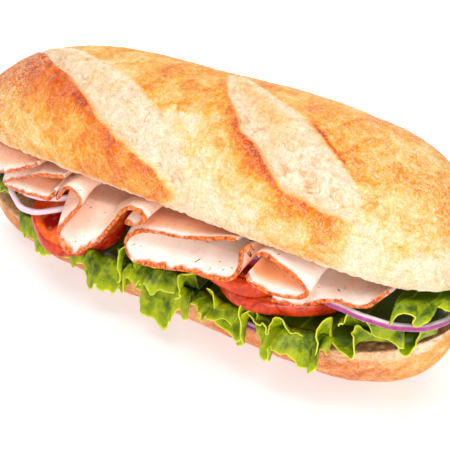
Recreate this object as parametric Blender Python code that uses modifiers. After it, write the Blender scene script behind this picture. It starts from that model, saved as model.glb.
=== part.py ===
"""A submarine sandwich: a scored bread roll cut in two and filled with frilly lettuce, tomato slices,
red onion and folded slices of turkey.

Metres, +Z up. The roll lies along X, its open front faces -Y, and the origin is on the table under
the middle of the whole sandwich.
"""

import math

import bmesh
import bpy
import numpy as np
from mathutils import Vector, noise

MM = 0.001

# The roll
ROLL_LENGTH = 247 * MM
HALF_LENGTH = ROLL_LENGTH / 2
TOP_HALF_WIDTH = 42.8 * MM
TOP_HEIGHT = 39 * MM
BOTTOM_HALF_WIDTH = 38 * MM
LEFT_END_POWER = 3.7
RIGHT_END_POWER = 4.7
LEFT_HEIGHT_POWER = 3.3
RIGHT_HEIGHT_POWER = 8.7
CRUST_TUCK = 0.07

# Where the two cut faces are: the bottom one rises and the top one droops towards the roll's ends
RIM_HEIGHT = 22 * MM
RIM_END_RISE = 13 * MM
LIP_HEIGHT = 63.6 * MM
LIP_END_DROOP = 11 * MM
TOP_TILT = 0.02
BASE_PRESS = 5 * MM
BASE_END_POWER = 8.0

# The two long scores: start at the back, middle and end at the front in plan, and the width across
SCORES = (
    ((-86, 2), (-30, -32.5), (30, -42), 18),
    ((8, 14), (46, -28), (94, -31), 23),
)
EAR_HEIGHT = 2.2 * MM
EAR_WIDTH = 5 * MM
SCORE_DROP = 2.4 * MM
SCORE_BULGE = 2.0 * MM

# The layers of the filling, as shares of the way from the bottom cut face to the top one
TURKEY_BOTTOM = 0.69
TURKEY_TOP = 0.955

LEAF_THICKNESS = 0.8 * MM
LEAF_REACH = 12 * MM
TURKEY_THICKNESS = 1.7 * MM
ONION_HEIGHT = 2.6 * MM
ONION_WIDTH = 2.4 * MM
TOMATO_THICKNESS = 6 * MM

# Every leaf edge ruffles together: a ruffle's length, and where the first one starts
FRILL_LENGTH = 30.7 * MM
FRILL_START = 3.9

# Each leaf: its left and right ends, its level, how far its edge droops at both ends, the depth of its
# ruffles, and its reach in front at both ends and behind
LEAVES = (
    ((-76, 26), 0.034, (0.6, 0.6), 1.5, (0.8, 0.85), 1.0),
    ((-14, 28), 0.16, (0.2, 0.0), 7.0, (1.1, 1.0), 1.0),
    ((30, 88), 0.136, (0.2, 0.5), 5.5, (1.0, 0.95), 1.0),
    ((38, 119), 0.165, (-0.05, 0.1), 6.5, (1.0, 0.4), 1.0),
    ((90, 110), 0.34, (-0.3, 0.0), 5.0, (0.9, 0.6), 1.0),
    ((107, 128), 0.84, (0.0, 0.0), 2.5, (1.0, 1.0), 1.0),
    ((-128.7, -103), 0.80, (-1.0, -1.0), 1.5, (0.3, 0.3), 1.3),
    ((-119, -80), 0.28, (0.0, 0.0), 2.4, (0.15, 0.15), 0.9),
)

# Each slice of turkey: x, y and z along its front edge, and the share of the layer's height farther in
TURKEY = (
    ((-101, -29, 50, 0.8), (-94, -32, 50, 0.73), (-82.5, -38, 48.5, 0.75), (-64.5, -40, 56, 0.85),
     (-54, -40, 62, 1.0)),
    ((-38.5, -41, 61, 0.95), (-52, -41, 57.5, 0.65), (-69, -39, 49.5, 0.46), (-79, -38, 44.3, 0.34),
     (-80.3, -38, 43, 0.2), (-77.5, -38, 42.2, 0.08), (-66.5, -41, 44.5, 0.04), (-54.5, -42, 47, 0.04),
     (-47.5, -42, 47.5, 0.12), (-43.5, -41, 53, 0.4)),
    ((-41, -43, 50.5, 0.5), (-35.5, -44, 57.5, 0.8), (-30, -44, 59, 0.95), (-25.5, -45, 54.5, 0.72),
     (-33.5, -47, 42.5, 0.42), (-38.5, -47, 35, 0.22), (-35, -48, 30, 0.02), (-29, -48, 30, 0.0),
     (-22, -47, 35, 0.05), (-14.5, -46, 41.5, 0.15), (-8.5, -45, 50.5, 0.5), (-1.5, -45, 59.5, 0.9),
     (5, -45, 62, 1.0), (8.5, -45, 59, 0.85), (3, -45, 54.5, 0.72), (-1.5, -45, 54, 0.56)),
    ((48.5, -41, 62.5, 1.0), (44.5, -42, 62, 0.9), (34.5, -43, 59, 0.75), (24, -43, 55.5, 0.65),
     (14.5, -43, 54, 0.5), (7, -44, 52.5, 0.4), (1, -45, 48.5, 0.3), (-1, -46, 44.5, 0.15),
     (2, -48, 41, 0.05), (9, -48, 40, 0.0), (20.5, -48, 42.5, 0.0), (32.5, -48, 46, 0.0),
     (43, -48, 47, 0.03), (50.5, -47, 49, 0.15), (53, -45, 54, 0.4), (52.5, -43, 59.5, 0.65),
     (54.5, -40, 62, 0.9)),
    ((58.5, -42, 60.5, 0.9), (62, -42, 62, 0.95), (70.5, -42, 59, 0.82), (78, -42, 55, 0.72),
     (79.5, -43, 51.5, 0.52), (75, -44, 49.5, 0.36), (66, -46, 49, 0.3), (58.5, -46, 50.5, 0.2),
     (56, -45, 52.5, 0.28)),
    ((65.5, -42, 43, 0.0), (71.5, -41, 43.5, 0.0), (77.5, -41, 45, 0.02), (83, -40, 48.5, 0.05),
     (88.5, -38, 50.5, 0.1), (94.5, -37, 50.5, 0.17), (99.5, -35, 51, 0.35), (102.5, -32, 54, 0.55),
     (105, -30, 57, 0.85)),
)

# Each tomato slice: its centre, its radius, and its rise towards the right and the back
TOMATOES = (
    (-46, -24, 33.4, 23, -0.1, 0.28),
    (53.5, -9, 36, 32, 0.0, 0.0),
    (-60, 24, 34, 18, 0.0, -0.07),
    (-4, 20, 36, 22, 0.0, -0.05),
    (46, -23, 42.4, 20, 0.0, 0.0),
)

# Each onion ring: its centre in plan, its radius, its level, how far it sags to one side, and which
ONIONS = (
    (-62, -11, 30, 0.52, 0.18, -95),
    (-62, -13, 25, 0.56, 0.06, -95),
    (91, -4.5, 31.5, 0.61, 0.20, -20),
    (31, -10, 26, 0.61, 0.0, 0),
    (56, -17, 21.5, 0.04, 0.0, 0),
)


def smoothstep(value):
    value = np.clip(value, 0.0, 1.0)
    return value * value * (3 - 2 * value)


def end_taper(x, left_power=LEFT_END_POWER, right_power=RIGHT_END_POWER):
    """1 in the middle of the roll and 0 at its ends."""
    power = left_power if x < 0 else right_power
    return max(0.0, 1 - abs(x / HALF_LENGTH) ** power) ** 0.5


def rim_height(x):
    return RIM_HEIGHT + RIM_END_RISE * abs(x / HALF_LENGTH) ** 4


def lip_height(x, y):
    return LIP_HEIGHT - LIP_END_DROOP * abs(x / HALF_LENGTH) ** 4 - TOP_TILT * y


def level(x, y, share):
    """The height of a layer: share 0 is on the bottom cut face, and 1 is under the top one."""
    x = np.clip(x, -HALF_LENGTH, HALF_LENGTH)
    return rim_height(x) + (lip_height(x, y) - rim_height(x)) * share


def curve_through(points, count):
    """count points spaced evenly by parameter along a smooth curve through the given points."""
    points = np.array(points, float)
    padded = np.vstack([2 * points[0] - points[1], points, 2 * points[-1] - points[-2]])
    at = np.linspace(0, len(points) - 1, count)
    segment = np.minimum(at.astype(int), len(points) - 2)
    t = (at - segment)[:, None]
    a, b, c, d = (padded[segment + k] for k in range(4))
    return 0.5 * (2 * b + (c - a) * t + (2 * a - 5 * b + 4 * c - d) * t**2 + (3 * b - a - 3 * c + d) * t**3)


def material(name, colour, roughness):
    made = bpy.data.materials.new(name)
    made.use_nodes = True
    shader = made.node_tree.nodes["Principled BSDF"]
    shader.inputs["Base Color"].default_value = (*colour, 1.0)
    shader.inputs["Roughness"].default_value = roughness
    return made


def new_object(name, bm, finish):
    mesh = bpy.data.meshes.new(name)
    bm.to_mesh(mesh)
    bm.free()
    mesh.materials.append(finish)
    made = bpy.data.objects.new(name, mesh)
    bpy.data.collections["submarine_sandwich"].objects.link(made)
    mesh.shade_smooth()
    mesh.set_sharp_from_angle(angle=math.radians(50))
    return made


def score_line(start, middle, end, count=40):
    """Points in plan along a score's ear, and the share of its length at each."""
    t = np.linspace(0, 1, count)[:, None]
    start, middle, end = (np.array(point) * MM for point in (start, middle, end))
    line = start * (1 - t) * (1 - 2 * t) + 4 * middle * t * (1 - t) + end * t * (2 * t - 1)
    return line, t[:, 0]


SCORE_LINES = [(*score_line(*score[:3]), score[3] * MM) for score in SCORES]


def score_relief(x, y):
    """How far the crust stands out at a point in plan: an ear along each score, then a drop and a bulge."""
    height = 0.0
    for line, share, width in SCORE_LINES:
        offset = np.array((x, y)) - line
        nearest = int(np.argmin((offset**2).sum(axis=1)))
        if not 0 < nearest < len(line) - 1:
            continue
        run = line[nearest + 1] - line[nearest - 1]
        across = float(offset[nearest] @ (-run[1], run[0])) / math.hypot(*run)
        opening = math.sin(math.pi * share[nearest]) ** 0.6
        if across <= 0:
            height += EAR_HEIGHT * opening * math.exp(across / EAR_WIDTH)
            continue
        depth = across / (width * opening)
        if depth < 1:
            step = float(smoothstep(depth / 0.25))
            height += EAR_HEIGHT * opening * (1 - step)
            height -= SCORE_DROP * opening * step * (1 - float(smoothstep((depth - 0.2) / 0.5)))
            height += SCORE_BULGE * opening * math.sin(math.pi * depth) * step
    return height


def unevenness(point, size, height):
    return height * noise.noise(Vector(point) / size)


def sphere_along_x(rings, around):
    """A sphere primitive whose poles lie on the X axis."""
    bm = bmesh.new()
    bmesh.ops.create_uvsphere(bm, u_segments=around, v_segments=rings, radius=1.0)
    for vertex in bm.verts:
        vertex.co = (vertex.co.z, vertex.co.x, vertex.co.y)
    return bm


def bread_half(name, rings, around, on_crust, crust_point, face_point, finish):
    """Half a roll from a sphere: its first on_crust steps around make the crust, the rest the cut face."""
    bm = sphere_along_x(rings, around)
    for vertex in bm.verts:
        x = HALF_LENGTH * vertex.co.x
        turn = math.atan2(vertex.co.z, vertex.co.y) % (2 * math.pi)
        step = round(turn / (2 * math.pi) * around) % around
        if step <= on_crust:
            vertex.co = crust_point(x, math.pi * step / on_crust)
        else:
            vertex.co = face_point(x, 2 * (step - on_crust) / (around - on_crust) - 1)
    bmesh.ops.recalc_face_normals(bm, faces=bm.faces)
    if bm.calc_volume(signed=True) < 0:
        bmesh.ops.reverse_faces(bm, faces=bm.faces)
    return new_object(name, bm, finish)


def top_crust_point(x, turn):
    taper = end_taper(x)
    side, rise = math.cos(turn), max(0.0, math.sin(turn))
    tuck = 1 - CRUST_TUCK * (1 - rise) ** 4
    y = TOP_HALF_WIDTH * taper * side * tuck
    height = TOP_HEIGHT * end_taper(x, LEFT_HEIGHT_POWER, RIGHT_HEIGHT_POWER)
    z = lip_height(x, y) + height * rise**0.95
    out = (score_relief(x, y) + unevenness((x, y, z), 26 * MM, 0.9 * MM)) * taper * min(1, 3 * rise)
    return (x, y + out * side, z + out * rise)


def top_face_point(x, across):
    y = across * TOP_HALF_WIDTH * end_taper(x) * (1 - CRUST_TUCK)
    return (x, y, lip_height(x, y))


def bottom_crust_point(x, turn):
    taper = end_taper(x)
    side, drop = math.cos(turn), max(0.0, math.sin(turn))
    bulge = 1 + 0.05 * math.sin(2 * turn) ** 2
    y = BOTTOM_HALF_WIDTH * taper * side * bulge
    depth = (rim_height(x) + BASE_PRESS) * end_taper(x, BASE_END_POWER, BASE_END_POWER) * drop**1.15
    rough = unevenness((x, y, 0), 22 * MM, 0.8 * MM) * taper * min(1, 3 * drop)
    return (x, y + rough * side, max(0.0, rim_height(x) - depth))


def bottom_face_point(x, across):
    taper = end_taper(x)
    dish = 1.2 * MM * taper * (1 - across**2)
    return (x, across * BOTTOM_HALF_WIDTH * taper, rim_height(x) - dish)


def sheet(name, points, thickness, finish):
    """A thin solid along a grid of points, both faces split into triangles alike."""
    columns, rows = points.shape[0] - 1, points.shape[1] - 1
    bm = bmesh.new()
    bmesh.ops.create_grid(bm, x_segments=columns, y_segments=rows, size=1.0)
    for vertex in bm.verts:
        column = round((vertex.co.x + 1) / 2 * columns)
        row = round((vertex.co.y + 1) / 2 * rows)
        vertex.co = points[column, row]
    bmesh.ops.triangulate(bm, faces=bm.faces, quad_method="SHORT_EDGE")
    made = new_object(name, bm, finish)
    shell = made.modifiers.new("Thickness", "SOLIDIFY")
    shell.thickness = thickness
    shell.offset = 0.0
    return made


def leaf_point(x, side, out, along, share, droops, depth, front, back):
    """A point of a leaf: side 0 is on the roll's middle line and 1 on its rim, and out is how far it
    hangs out past the rim, as a share of the leaf's full reach."""
    rim = 36 * MM * end_taper(np.clip(x, -0.97 * HALF_LENGTH, 0.97 * HALF_LENGTH))
    turn = 2 * math.pi * x / FRILL_LENGTH + FRILL_START + 2 * side
    ruffle = 0.75 * math.sin(turn + 0.7 * math.sin(turn)) + 0.25 * math.sin(2.37 * turn)
    scale = back if side > 0 else front[0] + (front[1] - front[0]) * along
    droop = droops[0] + (droops[1] - droops[0]) * along
    reach = LEAF_REACH * (0.86 + 0.14 * math.sin(0.19 * x / MM)) * out * scale
    y = side * (rim + reach * (1 - 0.18 * abs(ruffle)))
    ripple = 0.4 * MM * math.sin(0.35 * x / MM + 2 * side)
    z = level(x, np.clip(y, -40 * MM, 40 * MM), share) + ripple * (1 - out)
    z += (depth * MM * ruffle - droop * LEAF_REACH) * out**2 * min(scale, 1)
    sway = 1.6 * MM * out * math.cos(turn)
    return (x + sway, y, z)


def lettuce_leaf(number, ends, sizes, finish):
    stations = ((-1, 1), (-1, 0.66), (-1, 0.33), (-1, 0), (0, 0), (1, 0), (1, 0.33), (1, 0.66), (1, 1))
    count = max(6, round((ends[1] - ends[0]) / 4.0))
    rows = []
    for along in np.linspace(0, 1, count):
        x = (ends[0] + (ends[1] - ends[0]) * along) * MM
        rows.append([leaf_point(x, side, out, along, *sizes) for side, out in stations])
    return sheet(f"lettuce_leaf_{number}", np.array(rows), LEAF_THICKNESS, finish)


def turkey_slice(number, edge, finish):
    """A folded slice: its edge hangs out in front, and it is pressed flat between the halves inside."""
    profile = curve_through(edge, 2 * len(edge) + 1) * (MM, MM, MM, 1)
    rows = []
    for out, at in ((1, -1), (0.5, -1), (0, -1), (0, 0), (0, 1), (1, 1)):
        row = []
        for x, y, z, share in profile:
            rim = 35 * MM * end_taper(x)
            inside = level(x, at * rim, TURKEY_BOTTOM + (TURKEY_TOP - TURKEY_BOTTOM) * share)
            if at < 0 and out:
                row.append((x, -rim + (y + rim) * out, inside + (z - inside) * out**1.3))
            else:
                sink = 2.5 * MM * out**2 * (1 - 0.6 * share)
                row.append((x, at * (rim + 7 * MM * out), inside - sink))
        rows.append(row)
    return sheet(f"turkey_slice_{number}", np.array(rows).transpose(1, 0, 2), TURKEY_THICKNESS, finish)


def tomato_slice(number, x, y, z, radius, rise_right, rise_back, finish):
    bm = bmesh.new()
    bmesh.ops.create_cone(
        bm, cap_ends=True, segments=24, radius1=radius * MM, radius2=radius * MM, depth=TOMATO_THICKNESS
    )
    bmesh.ops.bevel(
        bm, geom=bm.edges[:], offset=1.2 * MM, segments=1, profile=0.5, affect="EDGES", clamp_overlap=True
    )
    for vertex in bm.verts:
        angle = math.atan2(vertex.co.y, vertex.co.x)
        lobe = 1 + 0.03 * math.cos(5 * angle + number)
        vertex.co.x *= lobe
        vertex.co.y *= lobe
        vertex.co.z += rise_right * vertex.co.x + rise_back * vertex.co.y
        vertex.co += Vector((x, y, z)) * MM
    return new_object(f"tomato_slice_{number}", bm, finish)


def onion_ring(number, x, y, radius, share, sag, side, finish):
    """A ring with a rounded section that lies along its level."""
    bm = bmesh.new()
    section = []
    for turn in range(6):
        angle = math.pi * (turn + 0.5) / 3
        across, up = 0.55 * ONION_WIDTH * math.cos(angle), 0.57 * ONION_HEIGHT * math.sin(angle)
        section.append(bm.verts.new((radius * MM + across, 0, up)))
    for turn in range(6):
        bm.edges.new((section[turn], section[(turn + 1) % 6]))
    bmesh.ops.spin(
        bm, geom=bm.edges[:] + bm.verts[:], axis=(0, 0, 1), cent=(0, 0, 0), steps=20, angle=2 * math.pi
    )
    bmesh.ops.remove_doubles(bm, verts=bm.verts, dist=0.00005)
    bmesh.ops.recalc_face_normals(bm, faces=bm.faces)
    for vertex in bm.verts:
        turn = math.atan2(vertex.co.y, vertex.co.x)
        stretch = 1 + 0.04 * math.sin(2 * turn + number)
        low = share - sag * max(0.0, math.cos(turn - math.radians(side))) ** 4
        place_x, place_y = x * MM + vertex.co.x * stretch, y * MM + vertex.co.y
        vertex.co = (place_x, place_y, vertex.co.z + float(level(place_x, place_y, low)))
    return new_object(f"onion_ring_{number}", bm, finish)


def main():
    for old in list(bpy.data.objects):
        bpy.data.objects.remove(old)
    collection = bpy.data.collections.new("submarine_sandwich")
    bpy.context.scene.collection.children.link(collection)
    crust = material("bread_crust", (0.80, 0.50, 0.22), 0.6)
    leaf = material("lettuce", (0.28, 0.45, 0.05), 0.45)
    meat = material("turkey", (0.90, 0.66, 0.52), 0.4)
    tomato = material("tomato", (0.75, 0.12, 0.05), 0.25)
    onion = material("red_onion", (0.70, 0.45, 0.62), 0.3)
    bread_half("bread_top", 46, 34, 26, top_crust_point, top_face_point, crust)
    bread_half("bread_bottom", 34, 24, 18, bottom_crust_point, bottom_face_point, crust)
    for number, (ends, *sizes) in enumerate(LEAVES, 1):
        lettuce_leaf(number, ends, sizes, leaf)
    for number, edge in enumerate(TURKEY, 1):
        turkey_slice(number, edge, meat)
    for number, sizes in enumerate(TOMATOES, 1):
        tomato_slice(number, *sizes, tomato)
    for number, sizes in enumerate(ONIONS, 1):
        onion_ring(number, *sizes, onion)


main()
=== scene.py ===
"""Dresses the submarine sandwich: each solid is replaced by a detailed piece of the same form, with its
own material, on a plain white table under soft light."""

import math

import bpy
import numpy as np
from mathutils import Matrix, Vector

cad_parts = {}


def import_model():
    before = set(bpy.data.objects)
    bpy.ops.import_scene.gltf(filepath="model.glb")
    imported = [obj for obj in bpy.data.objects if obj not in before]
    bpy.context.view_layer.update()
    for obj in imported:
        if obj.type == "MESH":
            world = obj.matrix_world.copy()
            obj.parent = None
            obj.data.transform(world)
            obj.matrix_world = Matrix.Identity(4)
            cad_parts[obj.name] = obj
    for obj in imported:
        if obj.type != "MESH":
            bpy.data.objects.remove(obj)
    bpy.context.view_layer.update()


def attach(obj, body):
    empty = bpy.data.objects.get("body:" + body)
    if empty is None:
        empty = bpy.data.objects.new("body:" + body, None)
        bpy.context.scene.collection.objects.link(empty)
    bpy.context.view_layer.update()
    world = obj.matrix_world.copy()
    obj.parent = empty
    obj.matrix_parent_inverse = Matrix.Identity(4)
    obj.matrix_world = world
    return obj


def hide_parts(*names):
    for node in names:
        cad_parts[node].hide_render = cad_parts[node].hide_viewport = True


MM = 0.001
IMAGE_WIDTH = 450

# The roll, as in the solids
ROLL_LENGTH = 247 * MM
HALF_LENGTH = ROLL_LENGTH / 2
TOP_HALF_WIDTH = 42.8 * MM
TOP_HEIGHT = 39 * MM
BOTTOM_HALF_WIDTH = 38 * MM
LEFT_END_POWER = 3.7
RIGHT_END_POWER = 4.7
LEFT_HEIGHT_POWER = 3.3
RIGHT_HEIGHT_POWER = 8.7
CRUST_TUCK = 0.07

# Where the two cut faces are: the bottom one rises and the top one droops towards the roll's ends
RIM_HEIGHT = 22 * MM
RIM_END_RISE = 13 * MM
LIP_HEIGHT = 63.6 * MM
LIP_END_DROOP = 11 * MM
TOP_TILT = 0.02
BASE_PRESS = 5 * MM
BASE_END_POWER = 8.0

# The two long scores, in mm: start at the back, middle and end at the front in plan, and the width
# across. The first lies a little farther back than in the solids, as in the photo
SCORES = (
    ((-98, 5), (-33, -29.6), (28, -40.6), 18.5),
    ((8, 14), (46, -28), (94, -31), 23),
)
EAR_HEIGHT = 2.2 * MM
EAR_WIDTH = 5 * MM
SCORE_DROP = 2.4 * MM
SCORE_BULGE = 2.0 * MM
SCORE_FOLD = 0.9 * MM
SCORE_WANDER = 1.0 * MM

# How each score is baked: how golden its strip is, how far the brown of its ear spreads in mm, the share
# of its length after which that brown is full, and how deep the fold at its far side is
SCORE_BAKE = ((0.3, 9, 0.15, 0), (0.7, 6, 0.65, 1))

# How much the crust lies inside the solid's before its roughness is added, the heights of the crust's
# and the crumb's roughness from large to fine, and how hollow the lower cut face is
CRUST_TRIM = 0.12 * MM
CRUST_SWELLS = 0.8 * MM
CRUST_LUMPS = 0.36 * MM
CRUST_CREASES = 0.40 * MM
CRUMB_LUMPS = 0.35 * MM
CRUMB_PITS = 0.9 * MM
CUT_FACE_DISH = 1.2 * MM

# The layers of the filling, as shares of the way from the bottom cut face to the top one
TURKEY_BOTTOM = 0.69
TURKEY_TOP = 0.955

# The sheets and slices: how thick they are, how far from the roll's middle line they start to hang
# out, and how far a leaf reaches. For the turkey, the reach behind and the part in front are in mm
LEAF_THICKNESS = 0.8 * MM
LEAF_RIM = 36 * MM
LEAF_REACH = 12 * MM
TURKEY_THICKNESS = 1.7 * MM
TURKEY_RIM = 35 * MM
TURKEY_BACK_REACH = 7
TURKEY_FRONT_PART = 8
ONION_HEIGHT = 2.6 * MM
ONION_WIDTH = 2.4 * MM
TOMATO_THICKNESS = 6 * MM

# The share of a tomato slice's radius that is flat, and the share that its rounded skin takes
TOMATO_FLAT = 0.955
TOMATO_BEND = 0.045

# Every leaf edge ruffles together: a ruffle's length, and where the first one starts
FRILL_LENGTH = 30.7 * MM
FRILL_START = 3.9

# Each leaf: its left and right ends, its level, how far its edge droops at both ends, the depth of its
# ruffles, and its reach in front at both ends and behind. The third and sixth droop a little more than
# their solids and the eighth reaches farther, as in the photo
LEAVES = (
    ((-76, 26), 0.034, (0.6, 0.6), 1.5, (0.8, 0.85), 1.0),
    ((-14, 28), 0.16, (0.2, 0.0), 7.0, (1.1, 1.0), 1.0),
    ((30, 88), 0.136, (0.2, 0.9), 5.5, (1.0, 1.2), 1.0),
    ((38, 119), 0.165, (-0.05, 0.1), 6.5, (1.0, 0.4), 1.0),
    ((90, 110), 0.34, (-0.3, 0.0), 5.0, (0.9, 0.6), 1.0),
    ((107, 128), 0.84, (0.45, 0.45), 2.5, (1.0, 1.0), 1.0),
    ((-128.7, -103), 0.80, (-1.0, -1.0), 1.5, (0.3, 0.3), 1.3),
    ((-119, -80), 0.28, (0.2, 0.2), 2.4, (0.4, 0.3), 0.9),
)

# The right part of the first leaf: how much deeper its ruffles are, in mm, and how much farther it
# reaches in front
FIRST_LEAF_DEEPER = 5
FIRST_LEAF_FARTHER = 0.2

# Each leaf past the rim: how far it arches up in front, in mm at its left and right ends, and how high
# its folds are, as a share of FOLD_HEIGHT. Behind, it arches up ARCH_BEHIND times as far. FOLD_HEIGHT
# and RIB_SPACING are in mm
LEAF_ARCH = (
    (4, 6, 1.0), (5, 5, 1.1), (1.5, 1.5, 1.1), (0, -2, 1.5),
    (3, 3, 1.0), (0, 0, 1.0), (0, 0, 1.0), (2, 2, 1.0),
)
ARCH_BEHIND = 0.6
FOLD_HEIGHT = 4.6
FOLD_LENGTH = 16.5 * MM
CRINKLE_LENGTH = 5.2 * MM
RIB_SPACING = 8.5

# Each slice of turkey: x, y and z along its front edge, and the share of the layer's height farther in
TURKEY = (
    ((-101, -29, 50, 0.8), (-94, -32, 50, 0.73), (-82.5, -38, 48.5, 0.75), (-64.5, -40, 56, 0.85),
     (-54, -40, 62, 1.0)),
    ((-38.5, -41, 61, 0.95), (-52, -41, 57.5, 0.65), (-69, -39, 49.5, 0.46), (-79, -38, 44.3, 0.34),
     (-80.3, -38, 43, 0.2), (-77.5, -38, 42.2, 0.08), (-66.5, -41, 44.5, 0.04), (-54.5, -42, 47, 0.04),
     (-47.5, -42, 47.5, 0.12), (-43.5, -41, 53, 0.4)),
    ((-41, -43, 50.5, 0.5), (-35.5, -44, 57.5, 0.8), (-30, -44, 59, 0.95), (-25.5, -45, 54.5, 0.72),
     (-33.5, -47, 42.5, 0.42), (-38.5, -47, 35, 0.22), (-35, -48, 30, 0.02), (-29, -48, 30, 0.0),
     (-22, -47, 35, 0.05), (-14.5, -46, 41.5, 0.15), (-8.5, -45, 50.5, 0.5), (-1.5, -45, 59.5, 0.9),
     (5, -45, 62, 1.0), (8.5, -45, 59, 0.85), (3, -45, 54.5, 0.72), (-1.5, -45, 54, 0.56)),
    ((48.5, -41, 62.5, 1.0), (44.5, -42, 62, 0.9), (34.5, -43, 59, 0.75), (24, -43, 55.5, 0.65),
     (14.5, -43, 54, 0.5), (7, -44, 52.5, 0.4), (1, -45, 48.5, 0.3), (-1, -46, 44.5, 0.15),
     (2, -48, 41, 0.05), (9, -48, 40, 0.0), (20.5, -48, 42.5, 0.0), (32.5, -48, 46, 0.0),
     (43, -48, 47, 0.03), (50.5, -47, 49, 0.15), (53, -45, 54, 0.4), (52.5, -43, 59.5, 0.65),
     (54.5, -40, 62, 0.9)),
    ((58.5, -42, 60.5, 0.9), (62, -42, 62, 0.95), (70.5, -42, 59, 0.82), (78, -42, 55, 0.72),
     (79.5, -43, 51.5, 0.52), (75, -44, 49.5, 0.36), (66, -46, 49, 0.3), (58.5, -46, 50.5, 0.2),
     (56, -45, 52.5, 0.28)),
    ((65.5, -42, 43, 0.0), (71.5, -41, 43.5, 0.0), (77.5, -41, 45, 0.02), (83, -40, 48.5, 0.05),
     (88.5, -38, 50.5, 0.1), (94.5, -37, 50.5, 0.17), (99.5, -35, 51, 0.35), (102.5, -32, 54, 0.55),
     (105, -30, 57, 0.85)),
)

# How much warm orange painted shade the meat of each slice has away from its edge, on each side of the
# sheet
TURKEY_PAINTED_SHADE = ((0.8, 0.8), (0.8, 0.4), (0.5, 0.6), (0.15, 0.8), (0.1, 1.0), (0.15, 0.15))

# Each tomato slice: its centre, its radius, and its rise towards the right and the back
TOMATOES = (
    (-46, -24, 33.4, 23, -0.1, 0.28),
    (53.5, -9, 36, 32, 0.0, 0.0),
    (-60, 24, 34, 18, 0.0, -0.07),
    (-4, 20, 36, 22, 0.0, -0.05),
    (46, -23, 42.4, 20, 0.0, 0.0),
)

# Each onion ring: its centre in plan, its radius, its level, how far it sags to one side, which side
# that is in degrees, and how purple its skin is
ONIONS = (
    (-62, -11, 30, 0.52, 0.18, -95, 0.3),
    (-62, -13, 25, 0.56, 0.06, -95, 0.3),
    (91, -4.5, 31.5, 0.61, 0.20, -20, 1.0),
    (31, -10, 26, 0.61, 0.0, 0, 1.0),
    (56, -17, 21.5, 0.04, 0.0, 0, 1.0),
)

# The studio, in metres: each lamp's name, place, size and power, and the point that all face. The table
# glows a little, and lies TABLE_GAP below the sandwich
LAMPS = (
    ("key", (0.00, -0.12, 0.80), 0.5, 3.2),
    ("front_fill", (0.55, -0.74, 0.25), 0.6, 5.4),
    ("back_fill", (-0.20, 0.85, 0.40), 0.6, 4.0),
)
LAMP_TARGET = (0, 0, 0.04)
WORLD_STRENGTH = 0.6
TABLE_GLOW = 0.48
TABLE_HALF_WIDTH = 4
TABLE_GAP = 0.0002

# The camera that fits the photo: the point it faces and its distance in mm, its turn to the right of
# the front, its lift and its roll in degrees, and its focal length and shifts in pixels of the image
CAMERA_TARGET = (22, 0, 44)
CAMERA_DISTANCE = 347
CAMERA_ANGLES = (33.7, 31.0, 1.0)
SENSOR_WIDTH = 36
FOCAL_LENGTH = 814
SHIFT_RIGHT = -12.6
SHIFT_UP = -10


def smoothstep(low, high, value):
    """0 at low and 1 at high, smooth between them. low may be the larger."""
    share = np.clip((value - low) / (high - low), 0.0, 1.0)
    return share * share * (3 - 2 * share)


def bumps(points, size, seed=0.0):
    """Smooth noise from -1 to 1 at each point, with its bumps about size apart."""
    at = np.asarray(points) / size
    cell = np.floor(at)
    part = at - cell
    part = part * part * (3 - 2 * part)
    total = np.zeros(at.shape[:-1])
    for corner in np.ndindex(2, 2, 2):
        key = (cell + corner) @ (127.1, 311.7, 74.7) + seed
        value = np.sin(key) * 43758.5453
        weight = np.where(corner, part, 1 - part).prod(axis=-1)
        total += (2 * (value - np.floor(value)) - 1) * weight
    return total


def rough(points, size, seed, octaves):
    """Noise of several sizes at once."""
    return sum(bumps(points, size / 2**k, seed + 5 * k) / 2**k for k in range(octaves))


def end_taper(x, left_power=LEFT_END_POWER, right_power=RIGHT_END_POWER):
    """1 in the middle of the roll and 0 at its ends."""
    power = np.where(x < 0, left_power, right_power)
    return np.sqrt(np.maximum(0.0, 1 - np.abs(x / HALF_LENGTH) ** power))


def rim_height(x):
    """The height of the lower cut face."""
    return RIM_HEIGHT + RIM_END_RISE * np.abs(x / HALF_LENGTH) ** 4


def lip_height(x, y):
    """The height of the upper cut face."""
    return LIP_HEIGHT - LIP_END_DROOP * np.abs(x / HALF_LENGTH) ** 4 - TOP_TILT * y


def level(x, y, share):
    """The height of a layer: share 0 is on the bottom cut face, and 1 is under the top one."""
    x = np.clip(x, -HALF_LENGTH, HALF_LENGTH)
    return rim_height(x) + (lip_height(x, y) - rim_height(x)) * share


def curve_through(points, count):
    """count points along a smooth curve through the given points."""
    points = np.array(points, float)
    padded = np.vstack([2 * points[0] - points[1], points, 2 * points[-1] - points[-2]])
    at = np.linspace(0, len(points) - 1, count)
    segment = np.minimum(at.astype(int), len(points) - 2)
    t = (at - segment)[:, None]
    a, b, c, d = (padded[segment + k] for k in range(4))
    return 0.5 * (2 * b + (c - a) * t + (2 * a - 5 * b + 4 * c - d) * t**2 + (3 * b - a - 3 * c + d) * t**3)


def quads(points, wrap=False, ring=False):
    """The four corners of each cell of a grid of points, as indices. wrap joins the last row to the first,
    and ring the last column to the first."""
    columns, rows = points.shape[:2]
    index = np.arange(columns * rows).reshape(columns, rows)
    if ring:
        index = np.vstack([index, index[:1]])
    if wrap:
        index = np.hstack([index, index[:, :1]])
    corners = index[:-1, :-1], index[1:, :-1], index[1:, 1:], index[:-1, 1:]
    return np.stack([corner.ravel() for corner in corners], axis=1)


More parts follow.
